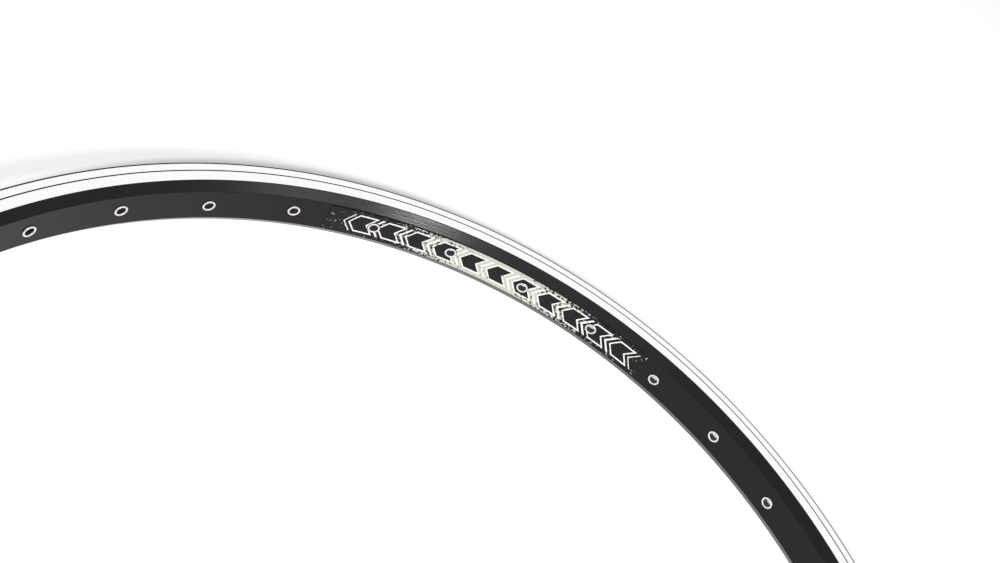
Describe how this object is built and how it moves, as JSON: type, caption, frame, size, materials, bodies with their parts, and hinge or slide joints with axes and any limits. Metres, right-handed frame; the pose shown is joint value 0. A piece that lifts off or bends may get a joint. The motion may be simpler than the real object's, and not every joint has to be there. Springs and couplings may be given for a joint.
{
  "type": "bicycle rim",
  "caption": "Double-wall aluminium bicycle rim with hooked tyre flanges, machined brake tracks, eyeletted spoke holes, a valve hole and a printed film on the spoke bed.",
  "frame": {"origin": "centre of the rim, on its axis and midway between the two brake tracks", "axes": "+Z along the rim's axis, up from the side that it lies on; +X through the valve hole; the film on the spoke bed is centred near +Y"},
  "size_m": [0.571, 0.571, 0.03],
  "materials": {
    "rim_alloy": "black anodised, with bare machined brake tracks",
    "eyelet_metal": "nickel plated, polished",
    "sleeve_alloy": "as extruded",
    "decal_film": "printed film, satin laminate"
  },
  "bodies": {
    "root": {"rim_hoop": "rim_alloy", "eyelet_01": "eyelet_metal", "eyelet_02": "eyelet_metal", "eyelet_03": "eyelet_metal", "eyelet_04": "eyelet_metal", "eyelet_05": "eyelet_metal", "eyelet_06": "eyelet_metal", "eyelet_07": "eyelet_metal", "eyelet_08": "eyelet_metal", "eyelet_09": "eyelet_metal", "eyelet_10": "eyelet_metal", "eyelet_11": "eyelet_metal", "eyelet_12": "eyelet_metal", "eyelet_13": "eyelet_metal", "eyelet_14": "eyelet_metal", "eyelet_15": "eyelet_metal", "eyelet_16": "eyelet_metal", "eyelet_17": "eyelet_metal", "eyelet_18": "eyelet_metal", "eyelet_19": "eyelet_metal", "eyelet_20": "eyelet_metal", "eyelet_21": "eyelet_metal", "eyelet_22": "eyelet_metal", "eyelet_23": "eyelet_metal", "eyelet_24": "eyelet_metal", "eyelet_25": "eyelet_metal", "eyelet_26": "eyelet_metal", "eyelet_27": "eyelet_metal", "eyelet_28": "eyelet_metal", "eyelet_29": "eyelet_metal", "eyelet_30": "eyelet_metal", "eyelet_31": "eyelet_metal", "eyelet_32": "eyelet_metal", "eyelet_33": "eyelet_metal", "eyelet_34": "eyelet_metal", "eyelet_35": "eyelet_metal", "eyelet_36": "eyelet_metal", "joint_sleeve": "sleeve_alloy", "decal": "decal_film"}
  },
  "joints": []
}
